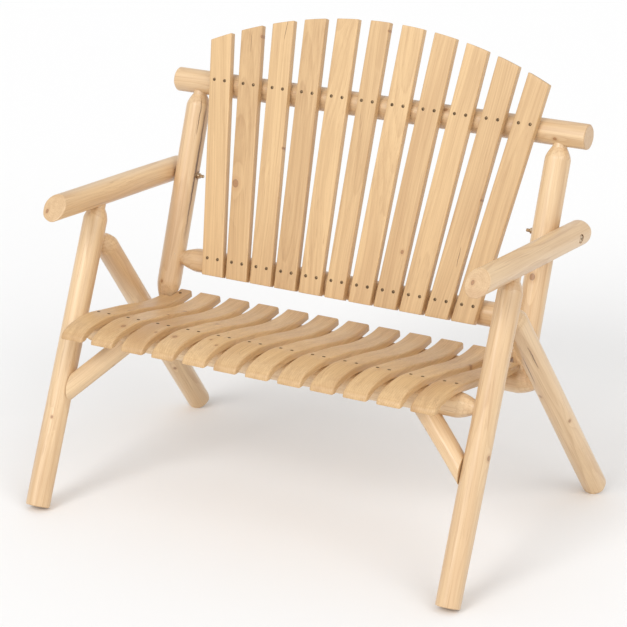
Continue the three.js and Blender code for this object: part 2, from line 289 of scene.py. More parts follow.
def wood_attributes(o, local, around, knots, cracks, rng, pith, kind):
    """Writes where each point lies in its log: 'grain', from the pith, the nearest knot and crack,
    the piece's 'tone', and which faces are 'sawn' ends.

    local maps points to (across, through, along); around maps those to (girth, along) on the
    surface, and gives the whole girth, or 0 where the surface doesn't close.
    A knot is (point, radius); a crack is (point, point, width)."""
    mesh = o.data
    co = np.array([v.co for v in mesh.vertices])
    place = local(co)
    grain = place - (pith[0], pith[1], 0)
    lean, bow = rng.normal(0, GRAIN_LEAN[kind], 2), rng.normal(0, GRAIN_LEAN[kind] / 3, 2)
    run = place[:, 2] - place[:, 2].mean()
    grain[:, :2] += np.outer(run, lean) + np.outer(np.sin(run * 7 + rng.uniform(0, 6)), bow)
    grain[:, 2] += rng.uniform(0, 40)
    write_attribute(mesh, "grain", "POINT", grain)
    write_attribute(mesh, "tone", "POINT", np.full(len(co), rng.uniform(-1, 1)), "FLOAT")
    along = local(np.eye(3))[:, 2] - local(np.zeros((1, 3)))[0, 2]
    facing = abs(np.array([p.normal for p in mesh.polygons]) @ (along / np.linalg.norm(along)))
    write_attribute(mesh, "sawn", "FACE", facing > END_FACING, "FLOAT")
    surface, girth = around(place)
    loop_vert = np.empty(len(mesh.loops), np.int64)
    mesh.loops.foreach_get("vertex_index", loop_vert)
    sizes = np.array([p.loop_total for p in mesh.polygons])
    loop_face = np.repeat(np.arange(len(sizes)), sizes)
    corner = surface[loop_vert]

    def wrapped(d):
        return (d + girth / 2) % girth - girth / 2 if girth else d

    first = corner[np.cumsum(sizes) - sizes]  # a face is measured from its first corner
    step = corner - first[loop_face]
    step[:, 0] = wrapped(step[:, 0])

    ended = facing[loop_face] > END_FACING
    across = place[loop_vert, :2]

    def nearest(marks, distance):
        """For each corner: the offset (girth, along) from its face's nearest mark, and the mark."""
        du = wrapped(first[:, None, 0] - marks[None, :, 0])
        dv = first[:, None, 1] - marks[None, :, 1]
        pick = distance(du, dv, marks).argmin(1)
        rows = np.arange(len(first))
        base = np.stack([du[rows, pick], dv[rows, pick]], 1)[loop_face]
        return base + step, marks[pick][loop_face]

    out = np.tile(NO_KNOT, (len(corner), 1))
    if len(knots):
        places = np.array([k[0] for k in knots])
        at = around(local(places))[0]
        marks = np.c_[at, [k[1] for k in knots]]
        offset, mark = nearest(marks, lambda du, dv, m: np.hypot(du, dv) / m[None, :, 2])
        out = np.c_[offset, mark[:, 2]]
        out[ended] = NO_KNOT
        for centre, (_, size) in zip(local(places), knots):
            on_end = ended & (abs(place[loop_vert, 2] - centre[2]) < END_KNOT)
            out[on_end] = np.c_[across[on_end] - centre[:2], np.full(on_end.sum(), size)]
    write_attribute(mesh, "knot", "CORNER", out)
    out = np.tile(NO_CRACK, (len(corner), 1))
    if len(cracks):
        ends = [around(local(np.array(c[:2])))[0] for c in cracks]
        marks = np.array([(e[0][0] + wrapped(e[1][0] - e[0][0]) / 2, (e[0][1] + e[1][1]) / 2,
                           abs(e[1][1] - e[0][1]) / 2,
                           wrapped(e[1][0] - e[0][0]) / (e[1][1] - e[0][1]), c[2])
                          for e, c in zip(ends, cracks)])
        offset, mark = nearest(marks, lambda du, dv, m: np.hypot(
            du - dv * m[None, :, 3], np.maximum(abs(dv) - m[None, :, 2], 0)))
        out = np.stack([offset[:, 0] - offset[:, 1] * mark[:, 3], offset[:, 1] / mark[:, 2],
                        mark[:, 4]], 1)
        out[ended] = NO_CRACK
    write_attribute(mesh, "crack", "CORNER", out)


# ---- turned poles ------------------------------------------------------------------------------
def sawn(r):
    return [(0, r - 2.4 * MM), (0.5 * MM, r - 1.3 * MM), (1.5 * MM, r - 0.4 * MM), (3.2 * MM, r)]


def tenon(length, r, taper, full):
    """A round tenon and the pencil-shaped shoulder worked down to it, from the end inwards."""
    length, r, taper = length * MM, r * MM, taper * MM
    made = [(0, r - 1 * MM), (1 * MM, r), (length, r)]
    for k in range(1, 13):
        s = k / 12
        made.append((length + taper * s, r + (full - r) * (1 - (1 - s) ** 1.6)))
    return made


def pole(node, towards, near, far, cuts=(None, None), faceted=False):
    """A peeled pole in the place of a CAD node. near and far take the radius and give an end
    profile of (distance in from the end, radius). A cut is a plane (point, normal) that the end is
    sawn to. Gives the object, its local and around maps, its random numbers and its radius."""
    rng = seeded(node)
    centre, axis, radius, t0, t1 = shaft(node, towards)
    u = np.cross(axis, (0, 0, 1) if abs(axis[2]) < 0.9 else (0, 1, 0))
    u /= np.linalg.norm(u)
    v = np.cross(axis, u)
    shears = []
    for i, cut in enumerate(cuts):
        slope = (0, 0)
        if cut is not None:
            point, normal = np.array(cut[0]), np.array(cut[1])
            slope = (-normal @ u / (normal @ axis), -normal @ v / (normal @ axis))
            meets = normal @ (point - centre) / (normal @ axis)
            t0, t1 = (meets, t1) if i == 0 else (t0, meets)
        shears.append(slope)
    length = t1 - t0
    start, end = near(radius), far(radius)
    d0, d1 = start[-1][0], end[-1][0]
    middle = np.linspace(d0, length - d1, max(3, int((length - d0 - d1) / STEP)))[1:-1]
    along = np.array([d for d, _ in start] + list(middle) + [length - d for d, _ in reversed(end)])
    size = np.array([r for _, r in start] + [radius] * len(middle) + [r for _, r in reversed(end)])
    phi = np.linspace(0, 2 * np.pi, SIDES, endpoint=False)
    waves = [(k, rng.uniform(0, 6.28), rng.uniform(-4, 4), rng.uniform(0.06, 0.26) * MM)
             for k in (2, 3, 4, 5, 7) for _ in range(2)]
    bow, bow_at = rng.uniform(0.2, 0.9) * MM, rng.uniform(0, 6.28)
    turn = rng.uniform(0, 6.28)
    facet = 2 * math.pi / FACETS

    def ring(d, r, inner=1.0):
        full = (r - 0.6 * radius) / (0.4 * radius)
        rough = sum(a * np.sin(k * phi + p + w * d / 0.3) for k, p, w, a in waves)
        rr = r + rough * np.clip(full, 0, 1)
        if faceted and r < radius - 0.02 * MM and full > 0:
            flat = math.cos(facet / 2) / np.cos((phi + turn) % facet - facet / 2)
            depth = FACET_DEPTH * min(1, (radius - r) / (0.2 * radius))
            rr = rr * (1 + depth * (flat - 0.985))
        rr = rr * inner
        x, y = rr * np.cos(phi), rr * np.sin(phi)
        slope = sum((sx * x + sy * y) * max(0, 1 - dd / SHEAR_RUN)
                    for (sx, sy), dd in ((shears[0], d), (shears[1], length - d)))
        x = x + bow * math.sin(math.pi * d / length) * math.cos(bow_at)
        y = y + bow * math.sin(math.pi * d / length) * math.sin(bow_at)
        t = (t0 + d + slope)[:, None]
        return centre + axis * t + np.outer(x, u) + np.outer(y, v)

    rings = [ring(d, r) for d, r in zip(along, size)]
    caps = [[ring(d, r, f) for f in (0.96, 0.8, 0.45, 0.12)]
            for d, r in ((along[0], size[0]), (along[-1], size[-1]))]
    verts, faces = loft(rings, *caps)
    verts = np.clip(verts, *(np.array(c) for c in CAD_BOX))
    o = make_object(node + "_wood", verts, faces)

    def local(co):
        return np.stack([(co - centre) @ u, (co - centre) @ v, co @ axis - t0], 1)

    def around(place):
        return np.stack([np.arctan2(place[:, 1], place[:, 0]) * radius, place[:, 2]], 1), \
            2 * math.pi * radius

    return o, local, around, rng, radius


MATERIAL = {}


def add_pole(node, towards, near, far, holes=(), hole_at=(), **more):
    knots, cracks = marks_of(node)
    o, local, around, rng, radius = pole(node, towards, near, far, **more)
    for tool in holes:
        subtract(o, tool)
    pith = rng.uniform(-0.3, 0.3, 2) * radius
    wood_attributes(o, local, around, knots, cracks, rng, pith, "pole_wood")
    # faces round a bolt's hole, marked to take painted shade in the material
    middle = np.array([p.center for p in o.data.polygons])
    recess_painted_shade = np.zeros(len(middle))
    for y, z in hole_at:
        recess_painted_shade += np.hypot(middle[:, 1] - y, middle[:, 2] - z) < BOLT_RECESS + 0.3 * MM
    write_attribute(o.data, "recess_painted_shade", "FACE", recess_painted_shade, "FLOAT")
    dress(o, "pole", node)


# ---- sawn slats --------------------------------------------------------------------------------
def section(width, inset=0.0, radius=SLAT_EDGE_R):
    """A rounded rectangle, width by the slat's thickness, as (across, down from the top face)."""
    a, b, r = width / 2 - inset, SLAT_T / 2 - inset, max(radius - inset, 0.3 * MM)
    points = []
    for cx, cy, begin in ((a - r, b - r, 0), (-a + r, b - r, 90), (-a + r, -b + r, 180),
                          (a - r, -b + r, 270)):
        for k in range(5):
            w = math.radians(begin + 90 * k / 4)
            points.append((cx + r * math.cos(w), cy + r * math.sin(w)))
        if cy > 0 and begin == 0 or begin == 180:
            for k in range(1, 8):  # points across the wide faces
                f = k / 8
                points.append(((a - r) * (1 - 2 * f) * (1 if begin == 0 else -1), points[-1][1]))
    return np.array(points)


def end_insets(width, radius=SLAT_EDGE_R):
    """(distance in from the end, section) for an eased end, from the outside inwards."""
    return [(d * MM, section(width, inset * MM, radius))
            for d, inset in ((0, 1.3), (0.35, 0.55), (1.2, 0))]


def add_slat(node, rings, caps, holes, local, pith, knots, cracks, rng):
    verts, faces = loft(rings, *caps)
    o = make_object(node + "_wood", verts, faces)
    for tool in holes:
        subtract(o, tool)
    wood_attributes(o, local, lambda place: (place[:, [0, 2]], 0), knots, cracks, rng, pith,
                    "slat_wood")
    dress(o, "slat", node)


UP_BACK = np.array((0, math.sin(LEAN), math.cos(LEAN)))
INTO_BACK = np.array((0, math.cos(LEAN), -math.sin(LEAN)))
BACK_ORIGIN = np.array((0, *BACK_FOOT))


def back_slat(k):
    node = f"back_slat_{k + 1:02d}"
    knots, cracks = marks_of(node)
    rng = seeded(node)
    step = k - (BACK_SLATS - 1) / 2
    spread = (FAN_PITCH[1] - FAN_PITCH[0]) / ROW_GAP
    tilt = math.atan(step * spread)
    width = BACK_SLAT_W if step else MIDDLE_SLAT_W

    def x_at(s, across):
        return step * (FAN_PITCH[0] + spread * s) + across / math.cos(tilt)

    def crown(across):
        s = np.full(len(across), CROWN_TOP)
        for _ in range(30):  # the slat leans, so its X depends on the height it reaches
            s = CROWN_TOP - CROWN_R + np.sqrt(CROWN_R ** 2 - x_at(s, across) ** 2)
        return s

    def ring(share, shape, inwards=0.0):
        across, through = shape[:, 0], shape[:, 1] + SLAT_T / 2
        top = crown(across)
        s = SLAT_BOTTOM + share * (top - SLAT_BOTTOM) + inwards
        return (BACK_ORIGIN + np.outer(x_at(s, across), (1, 0, 0)) + np.outer(s, UP_BACK)
                + np.outer(through, INTO_BACK))

    plain = section(width)
    ends = end_insets(width)
    rings = [ring(0, sh, d) for d, sh in ends]
    rings += [ring(share, plain) for share in np.linspace(0, 1, SLAT_RINGS)[1:-1]]
    rings += [ring(1, sh, -d) for d, sh in reversed(ends)]
    inner = section(width, CAP_INSET)
    caps = [[ring(0, inner)], [ring(1, inner)]]

    def local(co):
        q = co - BACK_ORIGIN
        s, d = q @ UP_BACK, q @ INTO_BACK
        across = (q[:, 0] - step * (FAN_PITCH[0] + spread * s)) * math.cos(tilt)
        return np.stack([across, d, s], 1)

    side = rng.choice((-1, 1))
    pith = (rng.uniform(*BACK_PITH[0]), side * rng.uniform(*BACK_PITH[1]))
    add_slat(node, rings, caps, (), local, pith, knots, cracks, rng)
    spots = [BACK_ORIGIN + np.array((x_at(s, 0) + a * SCREW_APART, 0, 0)) + s * UP_BACK
             for s in (0, ROW_GAP) for a in (-1, 1)]
    add_screws(f"back_screws_{k + 1:02d}", [(spot, -INTO_BACK) for spot in spots])


def smooth_path(points, count):
    """A centripetal curve through points, sampled evenly."""
    p = np.vstack([2 * points[0] - points[1], points, 2 * points[-1] - points[-2]])
    out = []
    for i in range(1, len(p) - 2):
        for f in np.linspace(0, 1, 20, endpoint=False):
            a, b, c, d = p[i - 1:i + 3]
            out.append(0.5 * (2 * b + (c - a) * f + (2 * a - 5 * b + 4 * c - d) * f ** 2
                              + (3 * b - a - 3 * c + d) * f ** 3))
    out = np.array([*out, points[-1]])
    run = np.r_[0, np.cumsum(np.hypot(*np.diff(out, axis=0).T))]
    at = np.linspace(0, run[-1], count)
    return np.stack([np.interp(at, run, out[:, 0]), np.interp(at, run, out[:, 1])], 1), at


SEAT_PATH, SEAT_RUN = smooth_path(SEAT_TOP, SEAT_RINGS)


def seat_slat(k):
    node = f"seat_slat_{k + 1:02d}"
    knots, cracks = marks_of(node)
    rng = seeded(node)
    x0 = (k - (SEAT_SLATS - 1) / 2) * SEAT_PITCH
    tangent = np.gradient(SEAT_PATH, axis=0)
    tangent /= np.hypot(*tangent.T)[:, None]
    down = np.stack([tangent[:, 1], -tangent[:, 0]], 1)

    def ring(i, shape, inwards=0.0):
        depth = (shape[:, 1] + SLAT_T / 2)[:, None]
        p = SEAT_PATH[i] + tangent[i] * inwards + down[i] * depth
        fix = max(0, 1 - SEAT_RUN[i] / FRONT_SAWN)  # the front end is sawn level
        p = p + fix * (np.array((SLAT_T, 0)) - down[0] * SLAT_T) * depth / SLAT_T
        return np.stack([x0 + shape[:, 0], p[:, 0], p[:, 1]], 1)

    plain = section(SEAT_SLAT_W, radius=SEAT_EDGE_R)
    ends = end_insets(SEAT_SLAT_W, SEAT_EDGE_R)
    last = len(SEAT_PATH) - 1
    rings = [ring(0, sh, d) for d, sh in ends]
    rings += [ring(i, plain) for i in range(1, last)]
    rings += [ring(last, sh, -d) for d, sh in reversed(ends)]
    inner = section(SEAT_SLAT_W, CAP_INSET)
    caps = [[ring(0, inner)], [ring(last, inner)]]
    holes = []
    if k in (0, SEAT_SLATS - 1):
        half = NOTCH_TOOL / 2
        holes.append(block(np.sign(x0) * (NOTCH[0] + half), NOTCH[1] + half, SEAT_MIDDLE_Z,
                           NOTCH_TOOL))

    def local(co):
        return np.stack([co[:, 0] - x0, SEAT_MIDDLE_Z - co[:, 2], co[:, 1]], 1)

    pith = (rng.choice((-1, 1)) * rng.uniform(*SEAT_PITH[0]), rng.uniform(*SEAT_PITH[1]))
    add_slat(node, rings, caps, holes, local, pith, knots, cracks, rng)
    places = [(SEAT_SCREW_Y, a * SCREW_APART) for a in (-1, 1)]
    if holes:
        places.append((REAR_SCREW_Y, -np.sign(x0) * SCREW_APART * 0.7))
    spots = []
    for y, a in places:
        i = abs(SEAT_PATH[:, 0] - y).argmin()
        normal = (0, -down[i][0], -down[i][1])
        spots.append(((x0 + a, *SEAT_PATH[i]), normal))
    add_screws(f"seat_screws_{k + 1:02d}", spots)


def block(x, y, z, size):
    h = size / 2
    corners = [(x + a * h, y + b * h, z + c * h) for a in (-1, 1) for b in (-1, 1) for c in (-1, 1)]
    faces = [(0, 1, 3, 2), (4, 6, 7, 5), (0, 4, 5, 1), (2, 3, 7, 6), (0, 2, 6, 4), (1, 5, 7, 3)]
    return make_object("tool", corners, faces)


# ---- fixings -----------------------------------------------------------------------------------
def mm(*pairs):
    return [(r * MM, h * MM) for r, h in pairs]


SCREW_HEAD = mm((2.4, -3.0), (2.6, -1.2), (4.0, -0.6), (4.2, -0.1), (4.15, 0.15), (3.9, 0.45),
                (3.4, 0.75), (2.9, 0.92), (2.5, 1.0), (2.2, 1.05), (1.9, 1.1), (1.55, 1.13),
                (1.2, 1.16), (0.9, 1.18), (0.6, 1.19), (0.25, 1.2))
PIN_HEAD = mm((1.4, -2.0), (2.0, -0.1), (2.1, 0.1), (1.9, 0.5), (1.3, 0.85), (0.3, 1.0))
BOLT_HEAD = mm((3, -2), (8.6, 0), (8.7, 0.6), (8.3, 1.8), (7.2, 2.9), (5.4, 3.7), (3.4, 4.0),
               (2.9, 3.9), (2.8, 1.6), (0.4, 1.4))
WASHER = mm((4.4, 0.1), (9.2, 0), (9.5, 0.25), (9.5, 1.3), (9.2, 1.6), (4.4, 1.5))


def turned(profile, sides):
    """Vertices and faces turned about +Z from (radius, height) pairs, with flat ends."""
    phi = np.linspace(0, 2 * np.pi, sides, endpoint=False)
    rings = [np.stack([r * np.cos(phi), r * np.sin(phi), np.full(sides, h)], 1) for r, h in profile]
    return loft(rings)


def annulus(profile, sides=64):
    """A ring turned about +Z from a closed section of (radius, height) pairs."""
    phi = np.linspace(0, 2 * np.pi, sides, endpoint=False)
    n = len(profile)
    verts = np.concatenate([np.stack([r * np.cos(phi), r * np.sin(phi), np.full(sides, h)], 1)
                            for r, h in profile])
    faces = []
    for i in range(n):
        a, b = i * sides, (i + 1) % n * sides
        faces += [(a + j, a + (j + 1) % sides, b + (j + 1) % sides, b + j) for j in range(sides)]
    return verts, faces


def screw_head():
    """A low domed head with a cross recess, its rim at height 0, and how much painted shade each
    point takes: more towards the rim, full in the recess.
    """
    verts, faces = turned(SCREW_HEAD, 36)
    x, y, z = abs(verts[:, 0]), abs(verts[:, 1]), verts[:, 2]
    r, full = np.hypot(x, y), 4.2 * MM
    reach = 2.3 * MM
    slot = (np.minimum(x, y) < 0.42 * MM) & (r < reach) & (z > 0)
    verts[slot, 2] -= (1.1 - 0.35 * r[slot] / reach) * MM
    verts *= SCREW_R / full
    # painted shade: growing towards the rim, full in the cross recess
    return verts, faces, np.maximum(r / full, slot * 1.0)


HEAD_V, HEAD_F, HEAD_PAINTED_SHADE = screw_head()


def placed(verts, origin, normal, spin):
    """Vertices with +Z turned to normal, spun about it, and moved to origin."""
    turn = Vector((0, 0, 1)).rotation_difference(Vector(normal)).to_matrix()
    m = np.array(turn) @ np.array(Matrix.Rotation(spin, 3, "Z"))
    return verts @ m.T + np.array(origin)


def add_screws(name, spots):
    """All the screws of one slat as one piece; spots are (origin, normal)."""
    rng = seeded(name)
    o = make_object(name, *joined([(placed(HEAD_V, origin, normal, rng.uniform(0, 3.14)), HEAD_F)
                                   for origin, normal in spots]))
    # how much painted shade each head takes, towards its rim and in its recess
    write_attribute(o.data, "rim", "POINT", np.tile(HEAD_PAINTED_SHADE, len(spots)), "FLOAT")
    dress(o, "screw", angle=50)


def threaded(length, r, pitch=1.25 * MM, depth=0.55 * MM, sides=40):
    """A threaded rod along +Z from 0 to length, with a chamfered tip."""
    phi = np.linspace(0, 2 * np.pi, sides, endpoint=False)
    rings = []
    for h in np.arange(0, length, pitch / 6):
        wave = abs(((h / pitch + phi / (2 * np.pi)) % 1) - 0.5) * 2
        rr = r - depth * wave
        rr = np.minimum(rr, r - 1.0 * MM + max(0, length - h) * 0.9)
        rings.append(np.stack([rr * np.cos(phi), rr * np.sin(phi), np.full(sides, h)], 1))
    return loft(rings)


def hexagon(r, height, sides=48):
    """A nut along +Z, r across corners / 2, with its corners chamfered at both ends."""
    phi = np.linspace(0, 2 * np.pi, sides, endpoint=False)
    flat = math.cos(math.pi / 6) / np.cos(phi % (math.pi / 3) - math.pi / 6)
    chamfer = ((0, 0.885), (0.35 * MM, 0.93), (0.8 * MM, 0.97), (1.4 * MM, 1))
    rings = []
    for h, limit in (*chamfer, *((height - h, limit) for h, limit in reversed(chamfer))):
        rr = r * np.minimum(flat, limit)
        rings.append(np.stack([rr * np.cos(phi), rr * np.sin(phi), np.full(sides, h)], 1))
    return loft(rings)


def add_fixing(node, *parts):
    dress(make_object(node + "_metal", *joined(parts)), "steel", node, angle=30)


def rod(x0, x1, y, z, r, sides=48):
    """A plain round tool along X, for cutting."""
    verts, faces = turned([(r, 0), (r, abs(x1 - x0))], sides)
    return make_object("tool", placed(verts, (x0, y, z), (np.sign(x1 - x0), 0, 0), 0), faces)


# ---- materials ---------------------------------------------------------------------------------
class Tree:
    """A small helper for writing node trees as expressions."""

    def __init__(self, name):
        self.material = bpy.data.materials.new(name)
        self.material.use_nodes = True
        self.nodes, self.links = self.material.node_tree.nodes, self.material.node_tree.links
        self.shader = next(n for n in self.nodes if n.type == "BSDF_PRINCIPLED")

    def put(self, socket, value):
        if isinstance(value, bpy.types.NodeSocket):
            self.links.new(value, socket)
        elif value is not None:
            socket.default_value = value

    def attribute(self, name, output="Vector"):
        n = self.nodes.new("ShaderNodeAttribute")
        n.attribute_name = name
        return n.outputs[output]

    def scaled(self, x, amount, middle=0.0):
        """(x - middle) * amount"""
        if middle:
            x = self.math("SUBTRACT", x, middle)
        return self.math("MULTIPLY", x, amount)

    def total(self, *terms):
        value = terms[0]
        for term in terms[1:]:
            value = self.math("ADD", value, term)
        return value

    def stretched(self, v, across, along, detail, rough, output="Fac"):
        """Noise drawn out along the grain: so many waves a metre across it and along it."""
        return self.noise(self.vec("MULTIPLY", v, (across, across, along)), detail, rough, output)

    def math(self, op, a, b=None, c=None, clamp=False):
        n = self.nodes.new("ShaderNodeMath")
        n.operation, n.use_clamp = op, clamp
        for socket, value in zip(n.inputs, (a, b, c)):
            self.put(socket, value)
        return n.outputs[0]

    def vec(self, op, a, b):
        n = self.nodes.new("ShaderNodeVectorMath")
        n.operation = op
        self.put(n.inputs[0], a)
        if op == "SCALE":
            self.put(n.inputs["Scale"], b)
        else:
            self.put(n.inputs[1], b)
        return n.outputs[0]

    def split(self, v):
        n = self.nodes.new("ShaderNodeSeparateXYZ")
        self.put(n.inputs[0], v)
        return n.outputs

    def join(self, x, y, z):
        n = self.nodes.new("ShaderNodeCombineXYZ")
        for socket, value in zip(n.inputs, (x, y, z)):
            self.put(socket, value)
        return n.outputs[0]

    def noise(self, v, detail, rough, output="Fac"):
        n = self.nodes.new("ShaderNodeTexNoise")
        self.put(n.inputs["Vector"], v)
        for key, value in (("Scale", 1), ("Detail", detail), ("Roughness", rough)):
            n.inputs[key].default_value = value
        return n.outputs[output]

    def ramp(self, x, low, high, a=0.0, b=1.0):
        """x taken smoothly from low..high to a..b."""
        n = self.nodes.new("ShaderNodeMapRange")
        n.interpolation_type = "SMOOTHSTEP"
        for socket, value in zip(n.inputs, (x, low, high, a, b)):
            self.put(socket, value)
        return n.outputs[0]

    def mix(self, amount, a, b, blend="MIX"):
        n = self.nodes.new("ShaderNodeMix")
        n.data_type, n.blend_type = "RGBA", blend
        for i, value in ((0, amount), (6, a), (7, b)):
            self.put(n.inputs[i], value)
        return n.outputs[2]

    def bump(self, height, distance, strength):
        n = self.nodes.new("ShaderNodeBump")
        n.inputs["Distance"].default_value = distance
        n.inputs["Strength"].default_value = strength
        self.put(n.inputs["Height"], height)
        return n.outputs[0]


PORE, VEIN, HAIR = (0.32, 0.19, 0.09, 1), (0.30, 0.16, 0.07, 1), (0.38, 0.20, 0.085, 1)
# end grain's own colour, and the painted shade for inside a bolt's recess
END_GRAIN, BORE_PAINTED_SHADE = (0.80, 0.74, 0.66, 1), (0.42, 0.30, 0.20, 1)
KNOT_HALO, KNOT_RIM = (0.50, 0.27, 0.115, 1), (0.13, 0.062, 0.028, 1)
KNOT_DARK, KNOT_LIGHT = (0.27, 0.12, 0.042, 1), (0.42, 0.20, 0.075, 1)
# a crack's brown band, and the painted shade down its middle
CRACK_BAND, CRACK_PAINTED_SHADE = (0.34, 0.17, 0.07, 1), (0.11, 0.055, 0.025, 1)


def wood(name, light, dark, ring_gap, ring_depth, patch, gloss, ends, coat):
    """Pale fir: growth rings about the pith, fibres along it, knots, drying cracks and streaks."""
    t = Tree(name)
    grain = t.attribute("grain")
    tone = t.attribute("tone", "Fac")
    # slow wander of the grain, then the swirl round knots
    slow = t.vec("SUBTRACT", t.stretched(grain, 7, 1.5, 2, 0.5, "Color"), (0.5, 0.5, 0.5))
    quick = t.vec("SUBTRACT", t.stretched(grain, 60, 7, 2, 0.5, "Color"), (0.5, 0.5, 0.5))
    bent = t.vec("ADD", grain, t.vec("MULTIPLY", slow, (0.03, 0.03, 0)))
    bent = t.vec("ADD", bent, t.vec("MULTIPLY", quick, (0.0022, 0.0022, 0)))
    bx, by, _ = t.split(bent)
    from_pith = t.math("SQRT", t.total(t.math("MULTIPLY", bx, bx), t.math("MULTIPLY", by, by)))
    ku, kv, kr = t.split(t.attribute("knot"))
    ku = t.math("DIVIDE", ku, kr)
    kv = t.math("DIVIDE", t.scaled(kv, 0.8), kr)
    ku2, kv2 = t.math("MULTIPLY", ku, ku), t.math("MULTIPLY", kv, kv)
    knot_d = t.math("SQRT", t.total(ku2, kv2))
    flow = t.math("EXPONENT", t.scaled(t.total(ku2, t.scaled(kv2, 0.12)), -0.12))
    rings_at = t.total(from_pith, t.scaled(t.math("MULTIPLY", flow, kr), 1.3))
    phase = t.math("DIVIDE", rings_at, ring_gap)
    saw = t.math("FRACT", phase)
    late = t.math("POWER", saw, 2.2)
    late = t.math("MULTIPLY", late, t.ramp(saw, 0.93, 1.0, 1.0, 0.0))
    # each ring is its own shade
    which = t.math("FLOOR", phase)
    shade = t.noise(t.vec("SCALE", t.join(which, which, 0.5), 0.77), 1, 0.5)
    # fibres and broad patches
    fibre = t.stretched(bent, 420, 5, 3, 0.6)
    streak = t.stretched(bent, 90, 1.6, 3, 0.55)
    broad = t.stretched(grain, 9, 2.2, 3, 0.55)
    pores = t.stretched(grain, 1500, 70, 2, 0.5)

    value = t.total(t.scaled(late, ring_depth, 0.25), t.scaled(shade, ring_depth * 1.1, 0.5),
                    t.scaled(fibre, 0.74, 0.5), t.scaled(streak, 0.95, 0.5),
                    t.scaled(broad, patch, 0.5), t.scaled(tone, 0.10))
    value = t.math("ADD", value, 0.36, clamp=True)
    colour = t.mix(value, (*light, 1), (*dark, 1))
    # pinkish heartwood in places
    blush = t.stretched(bent, 14, 0.9, 2, 0.5)
    colour = t.mix(t.ramp(blush, 0.52, 0.75, 0, 0.5), colour,
                   (dark[0], dark[1] * 0.93, dark[2] * 0.9, 1))
    colour = t.mix(t.ramp(pores, 0.64, 0.74, 0, 0.22), colour, PORE)
    # dark mineral streaks
    vein = t.stretched(bent, 55, 1.9, 2, 0.5)
    where = t.stretched(grain, 8, 2.6, 2, 0.5)
    line = t.ramp(t.math("ABSOLUTE", t.math("SUBTRACT", vein, 0.5)), 0.0, 0.012, 1, 0)
    line = t.math("MULTIPLY", line, t.ramp(where, 0.58, 0.68))
    colour = t.mix(t.scaled(line, 0.42), colour, VEIN)
    # end grain drinks more finish and is a shade darker; the bolt's recess is darkened with painted
    # shade
    colour = t.mix(t.scaled(t.attribute("sawn", "Fac"), ends), colour, END_GRAIN, "MULTIPLY")
    colour = t.mix(t.scaled(t.attribute("recess_painted_shade", "Fac"), 0.7), colour, BORE_PAINTED_SHADE, "MULTIPLY")
    # hairlines: fine dark fibres
    hair = t.stretched(bent, 620, 5, 2, 0.6)
    colour = t.mix(t.ramp(hair, 0.56, 0.72, 0, 0.42), colour, HAIR)
    # knots: orange halo, ringed heart, dark rim
    colour = t.mix(t.ramp(knot_d, 1.0, 2.8, 0.5, 0.0), colour, KNOT_HALO)
    heart_wave = t.math("SINE", t.scaled(t.total(knot_d, t.scaled(streak, 0.6, 0.5)), 24))
    heart = t.mix(t.ramp(heart_wave, -1, 1), KNOT_DARK, KNOT_LIGHT)
    edge = t.total(knot_d, t.scaled(fibre, 0.4, 0.5))
    inside = t.ramp(edge, 0.82, 1.05, 1, 0)
    colour = t.mix(t.scaled(inside, 0.85), colour, heart)
    rim = t.ramp(t.math("ABSOLUTE", t.math("SUBTRACT", edge, 0.98)), 0.0, 0.2, 0.6, 0)
    colour = t.mix(rim, colour, KNOT_RIM)
    # drying cracks, drawn in colour and bump only: a brown band along each, and painted shade down
    # the crack itself
    cu, reach, wide = t.split(t.attribute("crack"))
    cu = t.total(cu, t.scaled(t.stretched(grain, 0, 30, 3, 0.6), 0.006, 0.5))
    reach = t.math("ABSOLUTE", reach)
    ragged = t.math("MULTIPLY_ADD", t.stretched(grain, 0, 160, 2, 0.6), 0.9, 0.4)
    open_by = t.math("MULTIPLY", t.ramp(reach, 0.1, 1.0, 0.5, 0), t.math("MULTIPLY", wide, ragged))
    off = t.math("ABSOLUTE", cu)
    crack = t.ramp(t.math("DIVIDE", off, t.math("MAXIMUM", open_by, 0.00003)), 0.4, 1.0, 1, 0)
    crack = t.math("MULTIPLY", crack, t.ramp(reach, 0.93, 1.0, 1, 0))
    crack_band = t.ramp(t.math("DIVIDE", off, wide), 0.2, 0.95, 0.55, 0)
    crack_band = t.math("MULTIPLY", crack_band, t.ramp(reach, 0.75, 1.0, 1, 0))
    crack_band = t.math("MULTIPLY", crack_band, t.ramp(fibre, 0.3, 0.6, 0.5, 1.3))
    colour = t.mix(crack_band, colour, CRACK_BAND)
    # painted shade in the crack
    colour = t.mix(t.scaled(crack, 0.85), colour, CRACK_PAINTED_SHADE)
    t.put(t.shader.inputs["Base Color"], colour)

    rough = t.total(t.scaled(fibre, 0.22, 0.5), gloss, t.scaled(late, 0.05),
                    t.scaled(inside, -0.06))
    t.put(t.shader.inputs["Roughness"], rough)
    height = t.total(t.scaled(fibre, 0.45), t.scaled(late, 0.35), t.scaled(streak, 0.6),
                     t.scaled(inside, 0.5), t.scaled(crack, -3.0), t.scaled(rim, -1.0))
    t.put(t.shader.inputs["Normal"], t.bump(height, 0.35 * MM, 0.7))
    t.shader.inputs["Coat Weight"].default_value = coat
    t.shader.inputs["Coat Roughness"].default_value = 0.40
    return t.material


